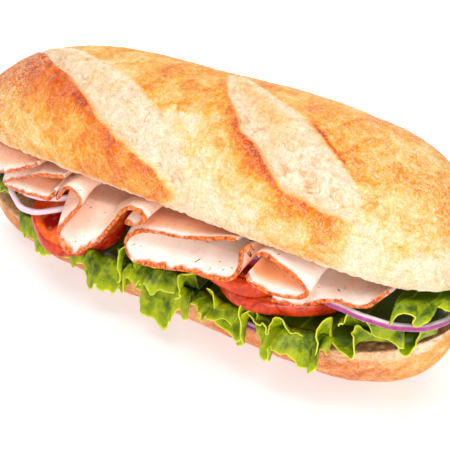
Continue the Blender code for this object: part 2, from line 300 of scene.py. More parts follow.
def new_mesh(name, vertices, faces, finish, node, slot, **masks):
    """A smooth piece that stands for a node. Each mask is a number from 0 to 1 for every vertex."""
    mesh = bpy.data.meshes.new(name)
    mesh.vertices.add(len(vertices))
    mesh.vertices.foreach_set("co", np.asarray(vertices, np.float32).ravel())
    mesh.loops.add(faces.size)
    mesh.loops.foreach_set("vertex_index", faces.ravel().astype(np.int32))
    mesh.polygons.add(len(faces))
    mesh.polygons.foreach_set("loop_start", np.arange(0, faces.size, faces.shape[1], dtype=np.int32))
    mesh.update()
    for key, values in masks.items():
        layer = mesh.attributes.new(key, "FLOAT", "POINT")
        layer.data.foreach_set("value", np.asarray(values, np.float32).ravel())
    mesh.validate()
    mesh.shade_smooth()
    mesh.materials.append(finish)
    piece = bpy.data.objects.new(name, mesh)
    bpy.context.scene.collection.objects.link(piece)
    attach(piece, "root")
    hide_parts(node)


def outward(points):
    """Unit normals of a grid of points."""
    normal = np.cross(np.gradient(points, axis=0), np.gradient(points, axis=1))
    return normal / np.maximum(np.linalg.norm(normal, axis=2, keepdims=True), 1e-12)


def thin_solid(name, points, thickness, finish, node, slot, **masks):
    """A closed sheet along a grid of points, rounded at its border where the thickness runs to nothing."""
    columns, rows = points.shape[:2]
    normal = outward(points)
    half = 0.5 * thickness[..., None] * normal
    front, back = (points + half).reshape(-1, 3), (points - half).reshape(-1, 3)
    faces = quads(points)
    count = columns * rows
    index = np.arange(count).reshape(columns, rows)
    border = np.concatenate([index[:-1, 0], index[-1, :-1], index[:0:-1, -1], index[0, :0:-1]])
    after = np.roll(border, -1)
    rim = np.stack([border, after, after + count, border + count], axis=1)
    faces = np.vstack([faces, faces[:, ::-1] + count, rim[:, ::-1]])
    pairs = {key: mask if isinstance(mask, tuple) else (mask, mask) for key, mask in masks.items()}
    both = {key: np.concatenate([part.ravel() for part in pair]) for key, pair in pairs.items()}
    new_mesh(name, np.vstack([front, back]), faces, finish, node, slot, **both)


def score_fields(x, y):
    """Relief of the scores at points in plan, and masks: the opened strips, the brown ears before them,
    the golden bulge of each strip, and the crease at the far side of the second."""
    relief, opened, ear, bulge, crease = (np.zeros_like(x) for _ in range(5))
    t = np.linspace(0, 1, 80)[:, None]
    flat = np.stack([x.ravel(), y.ravel()], axis=1)
    wander = SCORE_WANDER * rough(np.stack([x, y, 0 * x], axis=-1), 16 * MM, 3, 3)
    for (start, middle, end, width), (golden, ear_spread, ear_full, folded) in zip(SCORES, SCORE_BAKE):
        start, middle, end = (np.array(point) * MM for point in (start, middle, end))
        line = start * (1 - t) * (1 - 2 * t) + 4 * middle * t * (1 - t) + end * t * (2 * t - 1)
        distance = ((flat[:, None] - line[None]) ** 2).sum(axis=2)
        nearest = distance.argmin(axis=1)
        run = np.gradient(line, axis=0)[nearest]
        offset = flat - line[nearest]
        across = (offset * np.stack([-run[:, 1], run[:, 0]], axis=1)).sum(axis=1)
        across = (across / np.linalg.norm(run, axis=1)).reshape(x.shape) + wander
        share = t[nearest, 0].reshape(x.shape)
        inside = ((nearest > 0) & (nearest < len(t) - 1)).reshape(x.shape)
        opening = np.sin(np.pi * np.clip(share, 0.001, 0.999)) ** 0.6 * inside
        depth = across / np.maximum(width * MM * opening, 1e-6)
        step = smoothstep(0.0, 0.10, depth)
        before = across <= 0
        lifted = np.where(before, np.exp(np.minimum(across, 0) / EAR_WIDTH), 1 - step)
        relief += EAR_HEIGHT * opening * lifted
        strip = (~before) & (depth < 1)
        relief -= strip * SCORE_DROP * opening * step * (1 - smoothstep(0.15, 0.7, depth))
        relief += strip * SCORE_BULGE * opening * np.sin(np.pi * np.clip(depth, 0, 1)) * step
        fold = np.exp(-(((depth - 1) / 0.045) ** 2)) * opening * folded * smoothstep(0.5, 0.65, share)
        relief -= SCORE_FOLD * fold
        crease += fold
        opened += strip * step * (1 - smoothstep(0.78, 1.0, depth)) * np.minimum(1, 2.5 * opening)
        gold = golden * (1 - smoothstep(0.45, 0.8, share))
        bulge += strip * gold * np.sin(np.pi * np.clip((depth - 0.2) / 0.6, 0, 1))
        glow = np.exp(np.minimum(across, 0) / (ear_spread * MM))
        glow = glow * np.exp(-np.maximum(across, 0) / (0.6 * MM))
        strength = smoothstep(0.0, ear_full, share) * (1 - smoothstep(0.85, 1.0, share))
        ear = np.maximum(ear, glow * strength * np.minimum(1, 2.5 * opening))
    return relief, np.clip(opened, 0, 1), ear, bulge, crease


def crust_wrinkles(points):
    """Fine creases and lumps of a baked crust."""
    creases = np.abs(rough(points * (1, 1.6, 1.6), 6 * MM, 11, 3))
    return CRUST_LUMPS * rough(points, 8 * MM, 7, 4) - CRUST_CREASES * np.exp(-((creases / 0.10) ** 2))


def roll_stations(count):
    """Places along the roll, closer together towards its ends."""
    return HALF_LENGTH * np.sin(np.linspace(-math.pi / 2, math.pi / 2, count))


def bread_top(finish):
    """The upper half: a crust with two scores, and the crumb of its cut face."""
    x = roll_stations(350)[:, None]
    turn = np.linspace(0, math.pi, 200)[None]
    side, rise = np.cos(turn), np.maximum(0, np.sin(turn))
    taper = end_taper(x)
    height = end_taper(x, LEFT_HEIGHT_POWER, RIGHT_HEIGHT_POWER)
    y = TOP_HALF_WIDTH * taper * side * (1 - CRUST_TUCK * (1 - rise) ** 4)
    x = x + 0 * y
    z = lip_height(x, y) + TOP_HEIGHT * height * rise**0.95
    relief, opened, ear, bulge, crease = score_fields(x, y)
    points = np.stack([x, y, z], axis=-1)
    out = relief - CRUST_TRIM + CRUST_SWELLS * bumps(points, 26 * MM)
    out = out + crust_wrinkles(points) * (1 - 0.6 * opened)
    out += opened * (0.55 * MM * rough(points, 6 * MM, 31, 3) - 0.5 * MM * torn_holes(points, 2.8 * MM, 33))
    out *= taper * np.minimum(1, 3 * rise)
    points += np.stack([0 * x, out * side, out * rise], axis=-1)
    brown = top_brown_and_painted_light(points, side, opened, ear, bulge, crease)
    across = np.linspace(-1, 1, 42)[1:-1][None]
    face_y = across * TOP_HALF_WIDTH * (1 - CRUST_TUCK) * taper
    face_x = points[:, :1, 0] + 0 * face_y
    face = np.stack([face_x, face_y, lip_height(face_x, face_y)], axis=-1)
    face[..., 2] += crumb_pits(face) * taper * smoothstep(1.0, 0.9, np.abs(across))
    ragged = 1.3 * MM * rough(points, 3.5 * MM, 41, 3) * smoothstep(0.12, 0.0, rise) * taper
    points[..., 2] += np.abs(ragged)
    whole = np.concatenate([points, face], axis=1)
    blank = 0 * face_y
    lip = smoothstep(0.05, 0.0, rise) * 0.7
    flour = 0.25 + 0.50 * smoothstep(-55 * MM, -85 * MM, x) + 0.20 * smoothstep(60 * MM, 95 * MM, x)
    # Painted shade tints the back of the crust; a little tan lies along its front edge under the top
    tan_and_painted_shade = 0.75 * smoothstep(0.15, 0.65, side) + 0.2 * smoothstep(0.3, 0.0, rise) * (side < 0)
    masks = {
        "crumb": (0.75 * opened * (1 - 0.8 * bulge) + lip, 1 + blank),
        "brown": (brown, blank),
        # The cut face is painted as shade
        "tan_and_painted_shade": (tan_and_painted_shade + 0 * x, 1 + blank),
        "flour": (flour * (1 - opened), blank),
    }
    masks = {key: np.clip(np.concatenate(pair, axis=1), 0, 1) for key, pair in masks.items()}
    new_mesh(
        "bread_top_baked", whole.reshape(-1, 3), quads(whole, wrap=True), finish, "bread_top",
        "bread_crust", **masks,
    )


def top_brown_and_painted_light(points, side, opened, ear, bulge, crease):
    """How brown the top crust is from baking and painted light, from 0 for pale to 1 for dark orange brown.
    """
    x = points[..., 0]
    brown = 0.44 + 0.18 * rough(points, 24 * MM, 51, 2) + 0.10 * rough(points, 9 * MM, 52, 3)
    brown += 0.70 * ear
    brown += 0.26 * smoothstep(-60 * MM, -100 * MM, x)
    # Painted shade browns the back; painted light makes the front side paler, most at its lowest strip
    brown += 0.08 * smoothstep(0.1, 0.7, side)
    brown -= 0.30 * smoothstep(-0.40, -0.85, side) * smoothstep(-80 * MM, 10 * MM, x)
    brown -= (0.12 + 0.10 * smoothstep(60 * MM, 100 * MM, x)) * smoothstep(-0.7, -0.97, side)
    strip = 0.08 + 0.40 * bulge * (1 + 0.6 * rough(points, 9 * MM, 53, 2))
    brown = brown * (1 - opened) + strip * opened
    return np.clip(brown + 0.5 * crease, 0, 0.84)


def torn_holes(points, size, seed):
    """Where torn crumb has holes, from 0 to 1."""
    return smoothstep(0.35, 0.75, bumps(points, size, seed))


def crumb_pits(points):
    """Holes and lumps of a torn crumb."""
    holes = torn_holes(points, 2.6 * MM, 61) + torn_holes(points, 1.5 * MM, 62)
    return CRUMB_LUMPS * rough(points, 4 * MM, 63, 3) - CRUMB_PITS * holes


def bread_bottom(finish):
    """The lower half: a crust that is flat below, and the crumb of its cut face."""
    x = roll_stations(300)[:, None]
    turn = np.linspace(0, math.pi, 130)[None]
    side, drop = np.cos(turn), np.maximum(0, np.sin(turn))
    taper = end_taper(x)
    y = BOTTOM_HALF_WIDTH * taper * side * (1 + 0.05 * np.sin(2 * turn) ** 2)
    x = x + 0 * y
    depth = (rim_height(x) + BASE_PRESS) * end_taper(x, BASE_END_POWER, BASE_END_POWER) * drop**1.15
    points = np.stack([x, y, rim_height(x) - depth], axis=-1)
    out = CRUST_SWELLS * bumps(points * (1, 1, 0), 22 * MM) + crust_wrinkles(points)
    out *= taper * np.minimum(1, 3 * drop)
    points[..., 1] += out * side
    points[..., 2] -= out * drop
    points[..., 2] = np.maximum(points[..., 2], 0)
    brown = 0.52 + 0.2 * rough(points, 14 * MM, 71, 4) + 0.12 * drop
    brown -= 0.25 * smoothstep(90 * MM, 116 * MM, x)
    brown += 0.35 * smoothstep(0.14, 0.04, drop) * smoothstep(0, 0.5, bumps(points, 5 * MM, 72))
    across = np.linspace(-1, 1, 62)[1:-1][None]
    face_y = across * BOTTOM_HALF_WIDTH * taper
    face_x = points[:, :1, 0] + 0 * face_y
    dish = CUT_FACE_DISH * taper * (1 - across**2)
    face = np.stack([face_x, face_y, rim_height(face_x) - dish], axis=-1)
    face[..., 2] += crumb_pits(face) * taper * smoothstep(1.0, 0.93, np.abs(across))
    torn = (0.9 + 1.6 * smoothstep(60 * MM, 85 * MM, x)) * MM
    ragged = torn * rough(points, 5 * MM, 81, 3) * smoothstep(0.16, 0.0, drop) * taper
    points[..., 2] -= np.abs(ragged)
    open_crumb = smoothstep(0.30, 0.18, drop + 0.12 * rough(points, 9 * MM, 74, 3))
    open_crumb = open_crumb * smoothstep(82 * MM, 94 * MM, x)
    whole = np.concatenate([points, face], axis=1)
    blank = 0 * face_y
    masks = {
        "crumb": (np.maximum(smoothstep(0.05, 0.0, drop), open_crumb) * 0.9, 1 + blank),
        "brown": (brown, blank),
        # The lower crust is tan, less so at the right end, and its cut face is painted as shade
        "tan_and_painted_shade": (0.8 - 0.6 * smoothstep(100 * MM, 118 * MM, x), 1 + blank),
        "flour": (0.3 + 0 * x, blank),
    }
    masks = {key: np.clip(np.concatenate(pair, axis=1), 0, 1) for key, pair in masks.items()}
    new_mesh(
        "bread_bottom_baked", whole.reshape(-1, 3), quads(whole, wrap=True)[:, ::-1], finish,
        "bread_bottom", "bread_crust", **masks,
    )


def leaf_rim(x):
    """How far from the roll's middle line a leaf starts to hang out."""
    return LEAF_RIM * end_taper(np.clip(x, -0.97 * HALF_LENGTH, 0.97 * HALF_LENGTH))


def leaf_ripple(x, across):
    """A leaf's slight waves between the halves; across is -1 at the front rim and 1 at the back one."""
    return 0.4 * MM * np.sin(0.35 * x / MM + 2 * across)


def leaf_wing(number, x, side, steps, along, share, droops, depth, front, back):
    """The part of a leaf past the rim, in front where side is -1 and behind where it is 1: the large
    ruffles of the solid, with the folds and crinkles of its edge."""
    out = np.linspace(0, 1, steps)[None] ** 0.85
    rim = leaf_rim(x)
    turn = 2 * np.pi * x / FRILL_LENGTH + FRILL_START + 2 * side
    ruffle = 0.75 * np.sin(turn + 0.7 * np.sin(turn)) + 0.25 * np.sin(2.37 * turn)
    scale = back if side > 0 else front[0] + (front[1] - front[0]) * along
    droop = droops[0] + (droops[1] - droops[0]) * along
    if number == 1:
        right_part = smoothstep(0.42, 0.52, along)
        depth = depth + FIRST_LEAF_DEEPER * right_part
        if side < 0:
            scale = scale * (1 + FIRST_LEAF_FARTHER * right_part)
    soft = np.minimum(1.8 * scale, 1) * np.minimum(1.0, depth / 4)
    reach = (LEAF_REACH - 2.2 * MM) * (0.86 + 0.14 * np.sin(0.19 * x / MM)) * out * scale
    fold = 2 * np.pi * x / FOLD_LENGTH + 1.5 * ruffle + 1.9 * number + side
    crinkle = 2 * np.pi * x / CRINKLE_LENGTH + 1.6 * np.sin(fold) + number
    reach = reach * (1 - 0.04 * (1 + np.sin(crinkle)) - 0.035 * (1 + np.sin(2.7 * crinkle + number)))
    swell = (0.8 + 0.3 * np.sin(0.13 * x / MM + 2 * number)) * soft
    place_x = x + 1.6 * MM * out * np.cos(turn) - 1.6 * MM * swell * out**2 * np.sin(2 * turn)
    place_x = place_x - 2.0 * MM * swell * out**1.5 * np.sin(2 * fold)
    place_x = place_x - 0.35 * MM * soft * out**3 * np.sin(2 * crinkle)
    place_y = rim + reach * (1 - 0.18 * np.abs(ruffle)) + 2.6 * MM * swell * out**1.5 * np.cos(fold + 0.7)
    left, right, folds = LEAF_ARCH[number - 1]
    arch = (left + (right - left) * along) * MM * np.sin(np.pi * out**0.8)
    if side > 0:
        arch = arch * ARCH_BEHIND
    place_z = level(x, np.clip(side * place_y, -40 * MM, 40 * MM), share)
    place_z = place_z + leaf_ripple(x, side) * (1 - out) + arch
    place_z = place_z + (depth * MM * ruffle - droop * LEAF_REACH) * out**2 * np.minimum(scale, 1)
    waves = FOLD_HEIGHT * folds * swell * out**1.3 * (np.sin(fold) + 0.3)
    place_z = place_z + MM * (waves + soft * out**2.5 * np.sin(crinkle))
    return np.stack([place_x + 0 * place_y, side * place_y, place_z], axis=-1), out + 0 * place_y


def lettuce_leaf(number, ends, sizes, finish):
    """A leaf between the halves, flat inside and frilled where it hangs out."""
    along = np.linspace(0, 1, max(30, round((ends[1] - ends[0]) / 0.55)))[:, None]
    x = (ends[0] + (ends[1] - ends[0]) * along) * MM
    share = sizes[0]
    front, front_out = leaf_wing(number, x, -1, 30, along, *sizes)
    back, back_out = leaf_wing(number, x, 1, 24, along, *sizes)
    rim = leaf_rim(x)
    middle_y = np.linspace(-1, 1, 14)[1:-1][None] * rim
    middle_x = x + 0 * middle_y
    middle_z = level(middle_x, middle_y, share) + leaf_ripple(middle_x, middle_y / rim)
    middle = np.stack([middle_x, middle_y, middle_z], axis=-1)
    points = np.concatenate([front[:, ::-1], middle, back], axis=1)
    edge = np.concatenate([front_out[:, ::-1], 0 * middle_y, back_out], axis=1)
    vein = leaf_veins(points, edge, number)
    points[..., 2] += 0.65 * MM * rough(points, 6 * MM, number, 2) + 0.25 * MM * vein * (0.3 + edge)
    count = points.shape[1]
    to_border = np.minimum(np.arange(count), np.arange(count)[::-1])[None] + 0 * edge
    thickness = LEAF_THICKNESS * np.where(to_border == 0, 0.3, 0.75)
    thin_solid(
        f"frilly_leaf_{number}", points, thickness, finish, f"lettuce_leaf_{number}", "lettuce",
        edge=edge, vein=vein,
    )


def leaf_veins(points, edge, number):
    """Ribs that run out to the edge, each with side ribs."""
    slant = points[..., 0] / MM + 5 * edge + 2 * np.sin(points[..., 0] / (9 * MM))
    between = np.sin(np.pi * slant / RIB_SPACING)
    ribs = np.exp(-((between / 0.13) ** 2))
    forked = np.sin(np.pi * (slant / 3.1 + 2.2 * np.abs(between) + number))
    return np.clip(ribs + 0.5 * np.exp(-((forked / 0.16) ** 2)) * smoothstep(0.2, 0.6, edge), 0, 1)


def turkey_slice(number, edge, finish):
    """A folded slice: its edge hangs out in front, and it is pressed flat between the halves inside."""
    profile = curve_through(edge, 22 * len(edge)) * (MM, MM, MM, 1)
    x, y, z, share = (profile[:, k][:, None] for k in range(4))
    rim = TURKEY_RIM * end_taper(x)
    near = np.concatenate([[1, 0.985, 0.955, 0.91], np.linspace(0.86, 0.0, 18)])[None]
    across = np.linspace(-1, 1, 15)[1:][None]
    far = np.concatenate([np.linspace(0, 0.88, 8)[1:], [0.93, 0.97, 0.99, 1.0]])[None]
    span = TURKEY_TOP - TURKEY_BOTTOM
    at_front = level(x, -rim, TURKEY_BOTTOM + span * share)
    front_y = -rim + (y + rim) * near
    front_z = at_front + (z - at_front) * near**1.3
    middle_z = level(x, across * rim, TURKEY_BOTTOM + span * share)
    back_y = rim + TURKEY_BACK_REACH * MM * far
    back_z = level(x, rim, TURKEY_BOTTOM + span * share) - 2.5 * MM * far**2 * (1 - 0.6 * share)
    rows_y = np.concatenate([front_y, across * rim, back_y], axis=1)
    rows_z = np.concatenate([front_z, middle_z, back_z], axis=1)
    points = np.stack([x + 0 * rows_y, rows_y, rows_z], axis=-1)
    points += 0.35 * MM * outward(points) * bumps(points, 9 * MM, number)[..., None]
    to_front, to_back = TURKEY_FRONT_PART * (1 - near), TURKEY_BACK_REACH * (1 - far)
    to_edge = np.concatenate([to_front, TURKEY_FRONT_PART + 0 * across, to_back], axis=1) + 0 * rows_y
    points[:, 0] += 0.25 * MM * np.stack([bumps(points[:, 0], 1.6 * MM, k) for k in (1, 2, 3)], axis=-1)
    thickness = TURKEY_THICKNESS * np.sqrt(1 - (1 - np.clip(to_edge / 0.5, 0.02, 1)) ** 2)
    wander = 0.45 * rough(points, 4 * MM, 20 + number, 3)
    rind = 1 - smoothstep(0.4, 1.2, to_edge - 1.3 * wander)
    # Painted shade: warm orange on the meat away from its edge, as strong on each side as the table above
    # gives
    deep = tuple(shade_part * smoothstep(0.5, 4, to_edge) for shade_part in TURKEY_PAINTED_SHADE[number - 1])
    thin_solid(
        f"folded_turkey_{number}", points, thickness, finish, f"turkey_slice_{number}", "turkey",
        rind=rind, deep=deep,
    )


def tomato_slice(number, x, y, z, radius, rise_right, rise_back, finish):
    """A round slice with a skin, firm flesh, and soft pockets of seeds round a core."""
    around = np.linspace(0, 2 * math.pi, 161)[:-1][:, None]
    flat = np.linspace(0, TOMATO_FLAT, 34)
    bend = np.linspace(0, math.pi, 13)[1:-1]
    radii = np.concatenate([flat, TOMATO_FLAT + TOMATO_BEND * np.sin(bend), flat[::-1]])[None]
    heights = np.concatenate([1 + 0 * flat, np.cos(bend), -1 + 0 * flat])[None]
    lobe = 1 + 0.03 * np.cos(5 * around + number)
    plane = np.stack([radii * np.cos(around), radii * np.sin(around)], axis=-1)
    pockets = 0.5 + 0.5 * np.cos(5 * around + 3.75 * number + 0.5 * np.sin(around * 2))
    ring = smoothstep(0.24, 0.36, radii) * smoothstep(0.86, 0.76, radii)
    gel = smoothstep(0.35, 0.75, pockets) * ring
    seeds = smoothstep(0.45, 0.62, bumps(np.dstack([plane * radius, 0 * plane[..., 0]]), 2.3, number)) * gel
    surface = heights * (TOMATO_THICKNESS / 2) * (1 - 0.28 * gel + 0.16 * seeds)
    place_x, place_y = (plane[..., k] * radius * MM * lobe for k in (0, 1))
    points = np.stack([place_x, place_y, surface], axis=-1)
    points[..., 2] += 0.12 * MM * rough(points, 4 * MM, number, 2)
    points[..., 2] += rise_right * points[..., 0] + rise_back * points[..., 1]
    points += np.array((x, y, z)) * MM
    whole = np.swapaxes(points, 0, 1)
    skin = smoothstep(0.93, 0.965, radii) + 0 * around
    masks = {"skin": skin, "gel": gel, "seed": seeds}
    masks = {key: np.swapaxes(mask + 0 * surface, 0, 1) for key, mask in masks.items()}
    new_mesh(
        f"cut_tomato_{number}", whole.reshape(-1, 3), quads(whole, wrap=True), finish,
        f"tomato_slice_{number}", "tomato", **masks,
    )


def onion_ring(number, x, y, radius, share, sag, side, purple, finish):
    """A ring cut from one layer of an onion, with its purple skin outside."""
    around = np.linspace(0, 2 * math.pi, 241)[:-1][:, None]
    turn = np.linspace(0, 2 * math.pi, 25)[:-1][None]
    box = np.maximum(np.abs(np.cos(turn)), np.abs(np.sin(turn))) ** 0.55
    across = 0.47 * ONION_WIDTH * np.cos(turn) / box
    up = 0.47 * ONION_HEIGHT * np.sin(turn) / box
    stretch = 1 + 0.04 * np.sin(2 * around + number)
    wave = 0.25 * MM * np.sin(7 * around + number) + 0.15 * MM * np.sin(17 * around)
    place_x = x * MM + (radius * MM + across + wave) * np.cos(around) * stretch
    place_y = y * MM + (radius * MM + across + wave) * np.sin(around)
    low = share - sag * np.maximum(0.0, np.cos(around - math.radians(side))) ** 4
    points = np.stack([place_x, place_y, level(place_x, place_y, low) + up], axis=-1)
    skin = purple * smoothstep(0.45, 0.85, np.cos(turn)) + 0 * around
    new_mesh(
        f"sliced_onion_{number}", points.reshape(-1, 3), quads(points, wrap=True, ring=True), finish,
        f"onion_ring_{number}", "red_onion", skin=skin,
    )


def colour(red, green, blue):
    """A display colour from 0 to 255, as the linear values that a shader takes."""
    parts = np.array((red, green, blue)) / 255
    linear = np.where(parts <= 0.04045, parts / 12.92, ((parts + 0.055) / 1.055) ** 2.4)
    return (*(float(part) for part in linear), 1.0)


def add(tree, kind, inputs=None, **settings):
    """A new shader node. An input that is a socket is linked, and anything else is set."""
    node = tree.nodes.new(kind)
    for key, value in settings.items():
        setattr(node, key, value)
    for key, value in (inputs or {}).items():
        socket = node.inputs[key]
        if isinstance(value, bpy.types.NodeSocket):
            tree.links.new(value, socket)
        else:
            socket.default_value = value
    return node


def math_node(tree, operation, first, second=0.0):
    return add(tree, "ShaderNodeMath", {0: first, 1: second}, operation=operation).outputs[0]


def mask(tree, name):
    """A mask that the mesh carries for each vertex."""
    return add(tree, "ShaderNodeAttribute", attribute_name=name).outputs["Fac"]


def mottle(tree, size, detail=4.0, roughness=0.55, distortion=0.0):
    """Noise whose patches are about size across."""
    place = add(tree, "ShaderNodeTexCoord").outputs["Object"]
    values = {
        "Vector": place, "Scale": 1 / size, "Detail": detail, "Roughness": roughness,
        "Distortion": distortion,
    }
    return add(tree, "ShaderNodeTexNoise", values).outputs["Fac"]


def spread(tree, value, low, high):
    """value between low and high, stretched to 0 and 1."""
    values = {"Value": value, "From Min": low, "From Max": high}
    return add(tree, "ShaderNodeMapRange", values, interpolation_type="SMOOTHSTEP").outputs["Result"]


def mix(tree, share, first, second):
    """The first colour where share is 0, and the second where it is 1."""
    return add(tree, "ShaderNodeMix", {0: share, 6: first, 7: second}, data_type="RGBA").outputs[2]


def ramp(tree, value, stops):
    """The colour of a value, between stops that each have a position and a colour."""
    node = add(tree, "ShaderNodeValToRGB", {"Fac": value})
    for _ in range(len(stops) - 2):
        node.color_ramp.elements.new(0.5)
    for element, (position, tint) in zip(node.color_ramp.elements, stops):
        element.position = position
        element.color = tint
    return node.outputs["Color"]


def new_material(name, **values):
    """A material whose shader has these plain values, and its tree and shader to build on. Each value is
    named as its socket, with _ for a space."""
    made = bpy.data.materials.new(name)
    made.use_nodes = True
    shader = made.node_tree.nodes["Principled BSDF"]
    for key, value in values.items():
        shader.inputs[key.replace("_", " ")].default_value = value
    return made, made.node_tree, shader


def connect(tree, shader, base, bump_height, bump_distance, bump_strength, roughness=None):
    """Gives a shader its colour and its fine relief, and its roughness where that varies."""
    tree.links.new(base, shader.inputs["Base Color"])
    if roughness is not None:
        tree.links.new(roughness, shader.inputs["Roughness"])
    values = {"Height": bump_height, "Distance": bump_distance, "Strength": bump_strength}
    tree.links.new(add(tree, "ShaderNodeBump", values).outputs["Normal"], shader.inputs["Normal"])


def bread_material():
    """Crust from pale to orange brown by how baked it is, with painted light and shade on its sides, flour
    in its creases, thin dark lines of painted shade, and pale crumb with painted shade on the cut faces."""
    made, tree, shader = new_material(
        "baked_bread", Specular_IOR_Level=0.2, Subsurface_Weight=0.08, Subsurface_Scale=0.004,
        Subsurface_Radius=(1.0, 0.5, 0.25),
    )
    patches = math_node(tree, "SUBTRACT", mottle(tree, 9 * MM, 6, 0.66, 0.9), 0.5)
    specks = math_node(tree, "SUBTRACT", mottle(tree, 1.6 * MM, 6, 0.72, 0.8), 0.5)
    brown = math_node(tree, "ADD", mask(tree, "brown"), math_node(tree, "MULTIPLY", patches, 1.15))
    brown = math_node(tree, "ADD", brown, math_node(tree, "MULTIPLY", specks, 0.7))
    golden = ramp(
        tree, brown,
        (
            (0.0, colour(250, 230, 194)), (0.2, colour(247, 210, 132)),
            (0.42, colour(244, 172, 56)), (0.62, colour(240, 129, 14)),
            (0.82, colour(226, 92, 6)), (1.0, colour(172, 56, 4)),
        ),
    )
    # Tan crust: on the bottom crust, and as painted shade on the back of the top crust
    tanned_and_shaded_crust = ramp(
        tree, brown,
        (
            (0.0, colour(250, 220, 180)), (0.35, colour(244, 178, 120)), (0.65, colour(228, 124, 58)),
            (1.0, colour(156, 66, 22)),
        ),
    )
    crust = mix(tree, mask(tree, "tan_and_painted_shade"), golden, tanned_and_shaded_crust)
    crumb_grain = mottle(tree, 4.5 * MM, 6, 0.72, 0.8)
    pale = ramp(
        tree, crumb_grain,
        ((0.34, colour(222, 160, 118)), (0.42, colour(244, 208, 172)), (0.52, colour(252, 234, 208))),
    )
    # Painted shade: a warmer, darker crumb for the cut faces and the shaded back
    painted_shade_crumb = ramp(
        tree, crumb_grain,
        ((0.32, colour(226, 118, 62)), (0.46, colour(252, 178, 112)), (0.62, colour(255, 214, 160))),
    )
    base = mix(tree, mask(tree, "crumb"), crust, mix(tree, mask(tree, "tan_and_painted_shade"), pale, painted_shade_crumb))
    creases = mottle(tree, 4.5 * MM, 7, 0.66, 1.8)
    ridge = math_node(tree, "ABSOLUTE", math_node(tree, "SUBTRACT", creases, 0.5))
    dusted = math_node(tree, "MULTIPLY", spread(tree, ridge, 0.05, 0.0), mask(tree, "flour"))
    base = mix(tree, math_node(tree, "MULTIPLY", dusted, 0.9), base, colour(253, 238, 212))
    # Painted shade: thin dark lines that stand for shade in fine creases of the crust
    shade_line_noise = mottle(tree, 7 * MM, 8, 0.7, 2.2)
    shade_line = math_node(tree, "ABSOLUTE", math_node(tree, "SUBTRACT", shade_line_noise, 0.5))
    painted_crease_shade = math_node(tree, "MULTIPLY", spread(tree, shade_line, 0.022, 0.0), 0.45)
    base = mix(tree, painted_crease_shade, base, colour(196, 112, 56))
    grain = math_node(tree, "ADD", spread(tree, ridge, 0.0, 0.12), math_node(tree, "MULTIPLY", specks, 1.2))
    grain = math_node(tree, "ADD", grain, math_node(tree, "MULTIPLY", crumb_grain, 0.8))
    connect(tree, shader, base, grain, 0.5 * MM, 0.7, spread(tree, brown, 1.7, -0.3))
    return made


def lettuce_material():
    """Fresh green with darker painted shade deep between the halves, yellow green in the frills and pale at
    the very edge.
    """
    made, tree, shader = new_material(
        "lettuce_leaf", Roughness=0.3, Specular_IOR_Level=0.18, Subsurface_Weight=0.6,
        Subsurface_Scale=0.0022, Subsurface_Radius=(0.7, 1.0, 0.05),
    )
    patches = mottle(tree, 7 * MM, 4, 0.6)
    green = ramp(
        tree, patches,
        ((0.34, colour(52, 74, 0)), (0.46, colour(92, 112, 1)), (0.58, colour(146, 158, 2))),
    )
    # Painted shade: darker green deep between the halves and in the inner part of each frill
    deep = mix(tree, spread(tree, mask(tree, "edge"), 0.0, 0.45), colour(66, 86, 2), green)
    edge = math_node(tree, "ADD", mask(tree, "edge"), math_node(tree, "MULTIPLY", patches, 0.4))
    bright = mix(tree, spread(tree, edge, 0.85, 1.30), deep, colour(172, 182, 4))
    ribbed = mix(tree, math_node(tree, "MULTIPLY", mask(tree, "vein"), 0.35), bright, colour(176, 190, 40))
    base = mix(tree, spread(tree, mask(tree, "edge"), 0.965, 0.99), ribbed, colour(206, 212, 70))
    vein_height = math_node(tree, "MULTIPLY", mask(tree, "vein"), 0.5)
    bubbles = math_node(tree, "ADD", mottle(tree, 3.0 * MM, 4, 0.6, 0.4), vein_height)
    connect(tree, shader, base, bubbles, 0.7 * MM, 0.45)
    return made


def turkey_material():
    """Pale pink meat with a few pepper specks and warm orange painted shade away from its edge, and a
    spiced orange-brown rind along its cut edge.
    """
    made, tree, shader = new_material(
        "sliced_turkey", Specular_IOR_Level=0.3, Subsurface_Weight=0.3, Subsurface_Scale=0.004,
        Subsurface_Radius=(1.0, 0.45, 0.3),
    )
    meat = ramp(
        tree, mottle(tree, 10 * MM, 5, 0.6, 0.5),
        ((0.32, colour(252, 221, 205)), (0.5, colour(255, 236, 225)), (0.68, colour(255, 246, 239))),
    )
    # Painted shade: the meat turns warm orange where the shade mask is set
    meat = mix(tree, mask(tree, "deep"), meat, colour(240, 160, 108))
    pepper = spread(tree, mottle(tree, 2.6 * MM, 2, 0.5, 1.5), 0.70, 0.715)
    meat = mix(tree, pepper, meat, colour(84, 54, 44))
    spice = ramp(
        tree, mottle(tree, 1.3 * MM, 5, 0.75),
        ((0.37, colour(112, 34, 6)), (0.47, colour(198, 82, 14)), (0.60, colour(232, 134, 46))),
    )
    uneven = spread(tree, mottle(tree, 2.0 * MM, 4, 0.7), 0.22, 0.42)
    rind = math_node(tree, "MULTIPLY", mask(tree, "rind"), uneven)
    base = mix(tree, rind, meat, spice)
    raised = math_node(tree, "MULTIPLY", rind, 0.6)
    grain = math_node(tree, "ADD", mottle(tree, 1.2 * MM, 5, 0.65, 0.3), raised)
    connect(tree, shader, base, grain, 0.35 * MM, 0.4, spread(tree, mottle(tree, 4 * MM, 3), 0.0, 1.4))
    return made


